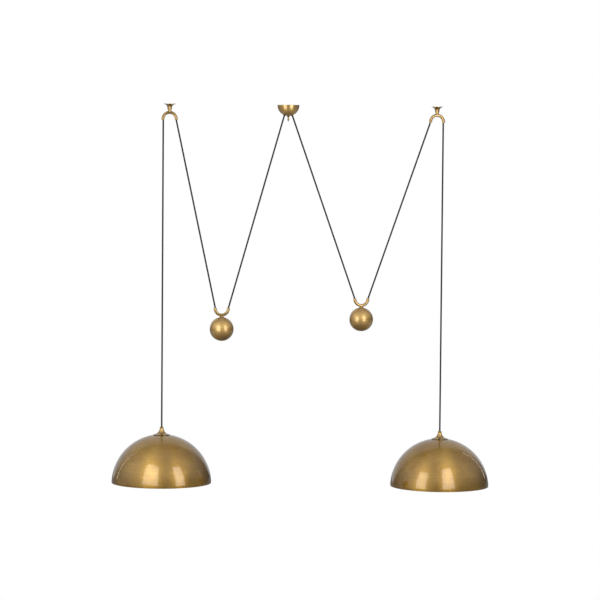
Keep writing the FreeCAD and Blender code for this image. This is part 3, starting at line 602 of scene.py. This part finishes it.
@dataclass
class TautCord:
    """One taut stretch of braided cord.

    Attributes:
        name: the piece's name.
        node: the CAD node it stands for.
        bodies: the body at its start and the body at its end.
        start: where it starts.
        end: where it ends.
        diameter: the cord's diameter.
        sides: how many faces go round it.
        ring_step: the length of a face, at the most.
        controls: the number of control points of its spline.
        least_steps: the least number of steps between two of them.
    """

    name: str
    node: str
    bodies: tuple[str, str]
    start: Vector
    end: Vector
    diameter: float = 6 * MM
    sides: int = 20
    ring_step: float = 12 * MM
    controls: int = 5
    least_steps: int = 4

    def route(self) -> list[Vector]:
        """Reads the points of the cord's NURBS spline from a curve with no bevel.

        Returns:
            The points, from the start to the end.
        """
        curve = bpy.data.curves.new(self.name + "_route", "CURVE")
        curve.dimensions = "3D"
        spline = curve.splines.new("NURBS")
        gaps = self.controls - 1
        spline.points.add(gaps)
        for index, point in enumerate(spline.points):
            point.co = (*self.start.lerp(self.end, index / gaps), 1.0)
        spline.order_u = 3
        spline.use_endpoint_u = True
        steps = math.ceil((self.end - self.start).length / self.ring_step / gaps)
        spline.resolution_u = max(self.least_steps, steps)
        holder = bpy.data.objects.new(self.name + "_route", curve)
        bpy.context.scene.collection.objects.link(holder)
        bpy.context.view_layer.update()
        graph = bpy.context.evaluated_depsgraph_get()
        mesh = bpy.data.meshes.new_from_object(holder.evaluated_get(graph))
        points = [vertex.co.copy() for vertex in mesh.vertices]
        bpy.data.objects.remove(holder)
        bpy.data.curves.remove(curve)
        bpy.data.meshes.remove(mesh)
        return points

    def tube(self, path: list[Vector]) -> bpy.types.Mesh:
        """Makes the closed tube, with a UV map: U once round it, V along it in metres.

        Args:
            path: the points of its middle line.

        Returns:
            The mesh.
        """
        along = (self.end - self.start).normalized()
        across = along.cross(Vector((0, 1, 0))).normalized()
        beside = along.cross(across)
        vertices, faces, coordinates = [], [], []
        for point in path:
            for index in range(self.sides):
                angle = 2 * math.pi * index / self.sides
                outward = across * math.cos(angle) + beside * math.sin(angle)
                vertices.append(tuple(point + outward * self.diameter / 2))
        for ring in range(len(path) - 1):
            low, high = ((path[r] - self.start).length for r in (ring, ring + 1))
            for index in range(self.sides):
                following = (index + 1) % self.sides
                base, top = ring * self.sides, (ring + 1) * self.sides
                faces.append((base + index, base + following, top + following, top + index))
                first, last = index / self.sides, (index + 1) / self.sides
                coordinates += [(first, low), (last, low), (last, high), (first, high)]
        ends = ((0, tuple(reversed(range(self.sides)))), (len(path) - 1, tuple(range(self.sides))))
        for ring, order in ends:
            faces.append(tuple(ring * self.sides + index for index in order))
            height = (path[ring] - self.start).length
            coordinates += [(index / self.sides, height) for index in order]
        mesh = bpy.data.meshes.new(self.name)
        mesh.from_pydata(vertices, [], faces)
        layer = mesh.uv_layers.new(name="UVMap")
        for loop, pair in zip(layer.data, coordinates):
            loop.uv = pair
        for polygon in mesh.polygons:
            # The tube is smooth, and its two flat ends aren't.
            polygon.use_smooth = len(polygon.vertices) == 4
        return mesh

    def build(self, material: bpy.types.Material) -> bpy.types.Object:
        """Args:
            material: the braid.

        Returns:
            The piece.
        """
        path = self.route()
        mesh = self.tube(path)
        mesh.materials.append(material)
        piece = bpy.data.objects.new(self.name, mesh)
        bpy.context.scene.collection.objects.link(piece)
        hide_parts(self.node)
        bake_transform(piece, *self.bodies, start=tuple(self.start), end=tuple(self.end))
        self.stretch_evenly(piece)
        return piece

    def stretch_evenly(self, piece: bpy.types.Object) -> None:
        """Lets a point follow the far body in proportion to its place, so the cord stays straight.
        """
        run = self.end - self.start
        weights = piece.data.attributes["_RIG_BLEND"].data
        for vertex, weight in zip(piece.data.vertices, weights):
            share = (vertex.co - self.start).dot(run) / run.length_squared
            weight.value = min(1.0, max(0.0, share))


# Each taut stretch: its CAD node, its piece, and the bodies at its upper and its lower end.
STRETCHES = (
    ("inner_leg", "inner_leg_braid", "loop", "weight"),
    ("outer_leg", "outer_leg_braid", "loop", "weight"),
    ("drop_cord", "drop_braid", "drop", "shade"),
)


@dataclass
class CordSet:
    """The cord on one side: three taut stretches, and the short ones in the tubes and housings.

    Attributes:
        side: left or right.
        face_reach: how far apart two points of the same end face are, at the most.
    """

    side: Side
    face_reach: float = 6.2 * MM

    def ends(self, node: str) -> tuple[Vector, Vector]:
        """Finds the ends of a taut node's middle line.

        Args:
            node: the CAD node, a straight tube in the plane Y = 0.

        Returns:
            Its upper and its lower end.
        """
        vertices = [v.co for v in bpy.data.objects[node].data.vertices]
        top = max(vertices, key=lambda v: v.z)
        bottom = min(vertices, key=lambda v: v.z)
        return self.face_middle(vertices, top), self.face_middle(vertices, bottom)

    def face_middle(self, vertices: list[Vector], near: Vector) -> Vector:
        """Finds the middle of one of a tube's two round end faces.

        Args:
            vertices: the tube's vertices.
            near: one on the rim of that face.

        Returns:
            The face's middle.
        """
        face = [v for v in vertices if (v - near).length <= self.face_reach]
        low = Vector(min(v[i] for v in face) for i in range(3))
        high = Vector(max(v[i] for v in face) for i in range(3))
        return (low + high) / 2

    def build(self, braid: bpy.types.Material, sleeve: bpy.types.Material) -> None:
        """Builds the taut stretches and dresses the others.

        Args:
            braid: the material of the taut stretches.
            sleeve: the material of the others.
        """
        prefix = self.side.prefix
        for node, name, upper, lower in STRETCHES:
            top, bottom = self.ends(prefix + node)
            cord = TautCord(
                prefix + name, prefix + node, (prefix + upper, prefix + lower), top, bottom
            )
            piece = cord.build(braid)
            log.info("%s: %d faces", piece.name, len(piece.data.polygons))
        for node in ("supply_tail", "hook_cord", "yoke_cord", "drop_entry", "shade_tail"):
            put_on(prefix + node, sleeve)


# ------------------------------------------------------------------------------------ finishes


@dataclass
class CeilingCanopy:
    """The canopy, its bushings and what it covers.

    Attributes:
        middle: the middle of the bowl's sphere, on the ceiling.
    """

    middle: tuple[float, float, float] = (0.0, 0.0, 0.0)

    def dress(self) -> None:
        """Gives each node its finish."""
        middle = Vector(self.middle)
        put_on("canopy_bowl", CANOPY_BRASS.material(middle, TurnedForm.SPHERE))
        put_on("finial_knob", POLISHED_BRASS.material(middle, TurnedForm.SPINDLE, "_finial"))
        put_on("canopy_washer", BLACKENED_BRASS.material(middle, TurnedForm.SPINDLE, "_washer"))
        steel = ZINC_STEEL.material(middle, TurnedForm.SPINDLE)
        for node in ("ceiling_bracket", "canopy_rod", "rod_nut", "earth_screw", "terminal_screws"):
            put_on(node, steel)
        put_on("cord_bushings", BLACK_NYLON.material())
        put_on("terminal_housing", WHITE_NYLON.material())


@dataclass
class CeilingHook:
    """One hook: its flange, its stem and its bent tube.

    Attributes:
        side: left or right.
    """

    side: Side

    def dress(self) -> None:
        """Gives each node its finish."""
        prefix = self.side.prefix
        axis = middle_of(prefix + "hook_flange")
        brass = POLISHED_BRASS.material(axis, TurnedForm.SPINDLE, f"_{prefix}hook")
        for node in ("hook_flange", "hook_stem", "hook_tube"):
            put_on(prefix + node, brass)


@dataclass
class Counterweight:
    """One solid ball with its stem and its bent tube.

    Attributes:
        side: left or right.
    """

    side: Side

    def dress(self) -> None:
        """Gives each node its finish."""
        prefix = self.side.prefix
        low, high = (Vector(corner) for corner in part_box(prefix + "ball"))
        ball_radius = (high.x - low.x) / 2
        middle = Vector(((low.x + high.x) / 2, 0, low.z + ball_radius))
        ball = TURNED_BRASS.material(middle, TurnedForm.SPHERE, f"_{prefix}ball")
        put_on(prefix + "ball", ball)
        brass = POLISHED_BRASS.material(middle, TurnedForm.SPINDLE, f"_{prefix}yoke")
        for node in ("yoke_stem", "yoke_tube"):
            put_on(prefix + node, brass)


@dataclass
class DomeShade:
    """One dome with its cone, its lampholder and the fittings between them.

    Attributes:
        side: left or right.
        sphere_radius: the radius of the dome's outer sphere.
    """

    side: Side
    sphere_radius: float = 180.5 * MM

    def dress(self) -> None:
        """Gives each node its finish."""
        prefix = self.side.prefix
        low, high = (Vector(corner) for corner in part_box(prefix + "shade_dome"))
        middle = Vector(((low.x + high.x) / 2, 0, high.z - self.sphere_radius))
        dome = SPUN_BRASS.material(middle, TurnedForm.SPHERE, f"_{prefix}dome")
        put_on(prefix + "shade_dome", dome)
        brass = POLISHED_BRASS.material(middle, TurnedForm.SPINDLE, f"_{prefix}shade")
        lampholder = ("lampholder_cap", "lampholder_skirt", "screw_shell", "centre_contact")
        for node in ("cord_cone", *lampholder):
            put_on(prefix + node, brass)
        steel = ZINC_STEEL.material(middle, TurnedForm.SPINDLE, f"_{prefix}shade")
        for node in ("threaded_tube", "dome_washer", "lock_nut"):
            put_on(prefix + node, steel)
        put_on(prefix + "lampholder_insert", PORCELAIN.material())
        put_on(prefix + "cord_clamp", BLACK_NYLON.material())


# ------------------------------------------------------------------------------------ camera


@dataclass(frozen=True)
class ProductCamera:
    """The camera, as fitted to the photograph.

    Attributes:
        place: where it stands.
        yaw: how far it looks to the right of +Y.
        pitch: how far it looks down.
        roll: how far it is turned about its own line of sight.
        frame: the width of the photograph, in pixels.
        focal: the focal length, in the same pixels.
        sight: how far it sees.
    """

    place: tuple[float, float, float] = (-1.164, -8.894, -0.221)
    yaw: float = math.radians(7.76)
    pitch: float = math.radians(3.09)
    roll: float = math.radians(-0.47)
    frame: int = 600
    focal: int = 2475
    sight: float = 60.0

    def build(self) -> None:
        """Makes the camera and sets it as the scene's."""
        forward = Vector((
            math.sin(self.yaw) * math.cos(self.pitch),
            math.cos(self.yaw) * math.cos(self.pitch),
            -math.sin(self.pitch),
        ))
        level = Vector((math.cos(self.yaw), -math.sin(self.yaw), 0))
        upward = level.cross(forward)
        right = level * math.cos(self.roll) - upward * math.sin(self.roll)
        up = level * math.sin(self.roll) + upward * math.cos(self.roll)
        turned = Matrix((right, up, -forward)).transposed().to_4x4()
        camera = bpy.data.objects.new("product_camera", bpy.data.cameras.new("product_camera"))
        camera.matrix_world = Matrix.Translation(self.place) @ turned
        camera.data.angle = 2 * math.atan(self.frame / 2 / self.focal)
        camera.data.clip_end = self.sight
        bpy.context.scene.collection.objects.link(camera)
        bpy.context.scene.camera = camera


# ------------------------------------------------------------------------------------ studio


def seen_rays(tree: bpy.types.NodeTree) -> bpy.types.NodeSocket:
    """Finds the rays that show the background: from the camera, from gloss and through glass.

    Args:
        tree: the node tree.

    Returns:
        1 for such a ray, and 0 for any other.
    """
    path = add_node(tree, "LightPath").outputs
    gloss = add_node(
        tree, "Math", operation="MAXIMUM",
        i0=path["Is Glossy Ray"], i1=path["Is Transmission Ray"],
    ).outputs[0]
    return add_node(
        tree, "Math", operation="MAXIMUM", i0=path["Is Camera Ray"], i1=gloss
    ).outputs[0]


@dataclass(frozen=True)
class StudioRoom:
    """The world: white behind the object, and a dimmer room where it is only reflected.

    A range is given in parts of a direction of length 1: to the right, to the back or upwards.

    Attributes:
        matt_level: the strength of its light on matt surfaces.
        low_level: the strength that gloss shows of the room level with the object.
        high_level: the strength that gloss shows of the room above it.
        height_range: how far up the room is at its low level and at its high one.
        window_level: what a window on the left adds to the room.
        window_range: how far to the right, less than 0 for the left, it is at its full strength
            and where it ends.
        wall_level: the strength of the white wall at the back.
        wall_range: how far back it begins and is at its full strength.
        wall_lean: how much of a direction's upward part counts as going back.
        corner_share: what is left of the room's light close to that wall.
        corner_range: how far back the room starts to get darker and is at its darkest.
    """

    matt_level: float = 0.45
    low_level: float = 0.18
    high_level: float = 0.85
    height_range: tuple[float, float] = (-0.05, 0.5)
    window_level: float = 0.4
    window_range: tuple[float, float] = (-0.95, -0.35)
    wall_level: float = 0.8
    wall_range: tuple[float, float] = (0.8, 0.88)
    wall_lean: float = 0.5
    corner_share: float = 0.45
    corner_range: tuple[float, float] = (0.2, 0.78)

    def build(self) -> None:
        """Makes the world."""
        world = bpy.data.worlds.new("white_studio")
        bpy.context.scene.world = world
        world.use_nodes = True
        tree = world.node_tree
        camera_rays = add_node(tree, "LightPath").outputs["Is Camera Ray"]
        shown = add_node(
            tree, "Math", operation="MAXIMUM", i0=camera_rays, i1=self.reflected(tree)
        ).outputs[0]
        strength = add_node(
            tree, "Mix", data_type="FLOAT", i0=seen_rays(tree), i2=self.matt_level, i3=shown
        ).outputs[0]
        feed(tree, tree.nodes["Background"], Color=(1, 1, 1, 1), Strength=strength)

    def reflected(self, tree: bpy.types.NodeTree) -> bpy.types.NodeSocket:
        """The strength that gloss shows of the room in each direction.

        Args:
            tree: the world's node tree.

        Returns:
            The strength.
        """
        direction = add_node(tree, "TexCoord").outputs["Generated"]
        towards = add_node(tree, "SeparateXYZ", Vector=direction).outputs
        low, high = self.height_range
        room = add_node(
            tree, "MapRange", interpolation_type="SMOOTHSTEP", Value=towards["Z"],
            From_Min=low, From_Max=high, To_Min=self.low_level, To_Max=self.high_level,
        ).outputs[0]
        full, end = self.window_range
        window = add_node(
            tree, "MapRange", interpolation_type="SMOOTHSTEP", Value=towards["X"],
            From_Min=full, From_Max=end, To_Min=self.window_level, To_Max=0.0,
        ).outputs[0]
        room = add_node(tree, "Math", operation="ADD", i0=room, i1=window).outputs[0]
        lean = add_node(
            tree, "Math", operation="MULTIPLY", i0=towards["Z"], i1=self.wall_lean
        ).outputs[0]
        back = add_node(tree, "Math", operation="ADD", i0=towards["Y"], i1=lean).outputs[0]
        start, darkest = self.corner_range
        corner = add_node(
            tree, "MapRange", Value=back,
            From_Min=start, From_Max=darkest, To_Min=1.0, To_Max=self.corner_share,
        ).outputs[0]
        room = add_node(tree, "Math", operation="MULTIPLY", i0=room, i1=corner).outputs[0]
        start, full = self.wall_range
        return add_node(
            tree, "MapRange", interpolation_type="SMOOTHSTEP", Value=back,
            From_Min=start, From_Max=full, To_Min=room, To_Max=self.wall_level,
        ).outputs[0]


@dataclass(frozen=True)
class PaleFloor:
    """A plain pale floor that keeps the shadow and fades into the background.

    Attributes:
        height: how high it lies.
        reach: how far its edges are from the middle.
        fade_range: how far from the middle it starts to fade and is plain white.
        near_glow: the least share of plain white that the camera sees in it.
        seen_grey: its grey where the camera sees it.
        bounce_grey: its grey for all other light, as on a darker studio floor.
        pool_level: the strength that gloss shows of the light under the object.
        far_level: the same further out.
        pool_range: how far from the middle that light starts to fall off and is gone.
    """

    height: float = -2.1
    reach: float = 14.0
    fade_range: tuple[float, float] = (0.95, 1.75)
    near_glow: float = 0.7
    seen_grey: float = 0.85
    bounce_grey: float = 0.3
    pool_level: float = 0.42
    far_level: float = 0.28
    pool_range: tuple[float, float] = (4.0, 6.5)

    def build(self) -> None:
        mesh = bpy.data.meshes.new("floor")
        corners = [(-1, -1), (1, -1), (1, 1), (-1, 1)]
        mesh.from_pydata(
            [(x * self.reach, y * self.reach, self.height) for x, y in corners], [], [(0, 1, 2, 3)]
        )
        mesh.materials.append(self.material())
        floor = bpy.data.objects.new("floor", mesh)
        bpy.context.scene.collection.objects.link(floor)

    def material(self) -> bpy.types.Material:
        """Makes its material.

        Returns:
            The material.
        """
        material, tree, shader = new_material("pale_floor")
        tree.nodes.remove(shader)
        place = add_node(tree, "TexCoord").outputs["Object"]
        split = add_node(tree, "SeparateXYZ", Vector=place).outputs
        flat = add_node(tree, "CombineXYZ", X=split["X"], Y=split["Y"]).outputs[0]
        distance = add_node(tree, "VectorMath", operation="LENGTH", i0=flat).outputs["Value"]
        camera_rays = add_node(tree, "LightPath").outputs["Is Camera Ray"]
        grey = add_node(
            tree, "MapRange", Value=camera_rays, To_Min=self.bounce_grey, To_Max=self.seen_grey
        ).outputs[0]
        matt = add_node(tree, "BsdfDiffuse", Color=grey).outputs[0]
        start, end = self.pool_range
        pool = add_node(
            tree, "MapRange", interpolation_type="SMOOTHSTEP", Value=distance,
            From_Min=start, From_Max=end, To_Min=self.pool_level, To_Max=self.far_level,
        ).outputs[0]
        level = add_node(tree, "Math", operation="MAXIMUM", i0=camera_rays, i1=pool).outputs[0]
        glow = add_node(tree, "Emission", Color=(1, 1, 1, 1), Strength=level).outputs[0]
        start, end = self.fade_range
        fade = add_node(
            tree, "MapRange", interpolation_type="SMOOTHSTEP", Value=distance,
            From_Min=start, From_Max=end,
        ).outputs[0]
        least = add_node(
            tree, "Math", operation="MULTIPLY", i0=camera_rays, i1=self.near_glow
        ).outputs[0]
        white = add_node(tree, "Math", operation="MAXIMUM", i0=fade, i1=least).outputs[0]
        share = add_node(
            tree, "Math", operation="MULTIPLY", i0=seen_rays(tree), i1=white
        ).outputs[0]
        mixed = add_node(tree, "MixShader", i0=share, i1=matt, i2=glow).outputs[0]
        # From under the floor the pendant is seen through it.
        under = add_node(tree, "NewGeometry").outputs["Backfacing"]
        clear = add_node(tree, "BsdfTransparent").outputs[0]
        surface = add_node(tree, "MixShader", i0=under, i1=mixed, i2=clear).outputs[0]
        feed(tree, tree.nodes["Material Output"], Surface=surface)
        return material


@dataclass(frozen=True)
class Softbox:
    """An upright rectangular soft light, which the camera doesn't see.

    Attributes:
        name: its name.
        place: its middle.
        width: its width.
        tall: its height.
        watts: its power.
    """

    name: str
    place: tuple[float, float, float]
    width: float
    tall: float
    watts: float

    def build(self, faced: tuple[float, float]) -> None:
        """Makes the light.

        Args:
            faced: the X and Y of the upright line that it faces.
        """
        light = bpy.data.lights.new(self.name, "AREA")
        light.shape = "RECTANGLE"
        light.size = self.width
        light.size_y = self.tall
        light.energy = self.watts
        holder = bpy.data.objects.new(self.name, light)
        holder.location = self.place
        aim = Vector((faced[0] - self.place[0], faced[1] - self.place[1], 0))
        holder.rotation_euler = aim.to_track_quat("-Z", "Y").to_euler()
        holder.visible_camera = False
        bpy.context.scene.collection.objects.link(holder)


@dataclass(frozen=True)
class ProductStudio:
    """The room, the floor and the lights.

    Attributes:
        faced: the X and Y of the upright line that the lights face.
        softboxes: the two softboxes give the two highlights on each dome and ball, and the two
            strips the fine arcs near the domes' outer edges.
    """

    faced: tuple[float, float] = (0.05, 0.0)
    softboxes: tuple[Softbox, ...] = (
        Softbox("left_softbox", (-1.10, -1.23, -0.55), width=0.9, tall=1.4, watts=11.8),
        Softbox("right_softbox", (0.83, -1.63, -0.39), width=0.82, tall=1.72, watts=15.8),
        Softbox("left_strip", (-0.87, 0.145, -1.09), width=0.016, tall=0.5, watts=0.07),
        Softbox("right_strip", (0.99, 0.145, -1.09), width=0.016, tall=0.5, watts=0.07),
    )

    def build(self) -> None:
        """Makes the whole studio."""
        bpy.context.scene.view_settings.view_transform = "Standard"
        StudioRoom().build()
        PaleFloor().build()
        for softbox in self.softboxes:
            softbox.build(self.faced)


# ------------------------------------------------------------------------------------ main


def main() -> None:
    """Builds the camera, the cords, the finishes and the studio."""
    logging.basicConfig(level=logging.INFO, format="%(name)s: %(message)s")
    bpy.ops.object.select_all(action="DESELECT")
    ProductCamera().build()
    braid = BLACK_BRAID.material()
    sleeve = HIDDEN_SLEEVE.material()
    for side in Side:
        CordSet(side).build(braid, sleeve)
    CeilingCanopy().dress()
    for side in Side:
        CeilingHook(side).dress()
        Counterweight(side).dress()
        DomeShade(side).dress()
    ProductStudio().build()


if __name__ == "__main__":
    main()
